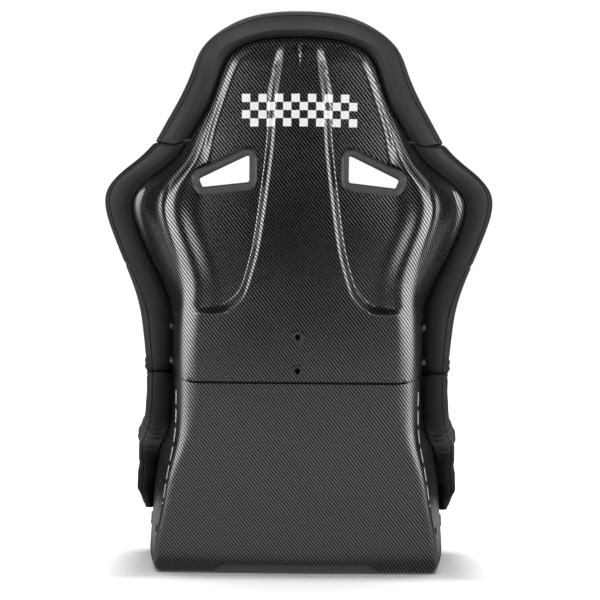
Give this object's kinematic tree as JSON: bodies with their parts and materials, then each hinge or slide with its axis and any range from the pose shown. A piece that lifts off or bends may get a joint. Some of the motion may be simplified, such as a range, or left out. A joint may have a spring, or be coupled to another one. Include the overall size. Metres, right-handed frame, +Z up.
{
  "type": "racing seat",
  "caption": "Two-piece bucket racing seat with a laminate backrest and base, padded edge rolls, harness slots and a lift-out cushion.",
  "frame": {"origin": "middle of the seat's box in plan, at floor height", "axes": "+Z up, the occupant faces -Y, the occupant's left is +X"},
  "size_m": [0.606, 0.6274, 0.87],
  "materials": {
    "carbon": "clear-coated twill laminate",
    "leather": "satin leatherette with sewn seams",
    "fabric": "woven cover",
    "plastic": "matte moulded",
    "steel": "black finish",
    "zinc": "zinc plated",
    "board": "plywood",
    "hook_tape": "hook-and-loop tape"
  },
  "bodies": {
    "seat": {"back_shell": "carbon", "base_shell": "carbon", "head_pad": "leather", "side_bolster_left": "leather", "side_bolster_right": "leather", "thigh_bolster_left": "leather", "thigh_bolster_right": "leather", "back_pad": "fabric", "hip_pad": "fabric", "slot_bezel_left": "plastic", "slot_bezel_right": "plastic", "slot_ring_left": "plastic", "slot_ring_right": "plastic", "rear_insert_lower": "steel", "rear_insert_upper": "steel", "seat_board": "board", "joint_plate_left": "zinc", "pan_rail_left": "steel", "hook_strip_left": "hook_tape", "joint_bolt_left_lower": "steel", "joint_washer_left_lower": "steel", "joint_bolt_left_upper": "steel", "joint_washer_left_upper": "steel", "side_insert_left_front": "zinc", "foot_insert_left_front": "zinc", "side_insert_left_rear": "zinc", "foot_insert_left_rear": "zinc", "joint_plate_right": "zinc", "pan_rail_right": "steel", "hook_strip_right": "hook_tape", "joint_bolt_right_lower": "steel", "joint_washer_right_lower": "steel", "joint_bolt_right_upper": "steel", "joint_washer_right_upper": "steel", "side_insert_right_front": "zinc", "foot_insert_right_front": "zinc", "side_insert_right_rear": "zinc", "foot_insert_right_rear": "zinc"},
    "loose_cushion": {"seat_cushion": "fabric"},
    "lumbar": {"lumbar_cushion": "fabric"}
  },
  "joints": [
    {"name": "seat_cushion_lift", "type": "slide", "parent": "seat", "child": "loose_cushion", "axis": [0, 0, 1], "range_m": [0, 0.22]},
    {"name": "lumbar_height", "type": "slide", "parent": "seat", "child": "lumbar", "axis": [0, 0.2803, 0.9599], "range_m": [-0.025, 0.03]}
  ]
}
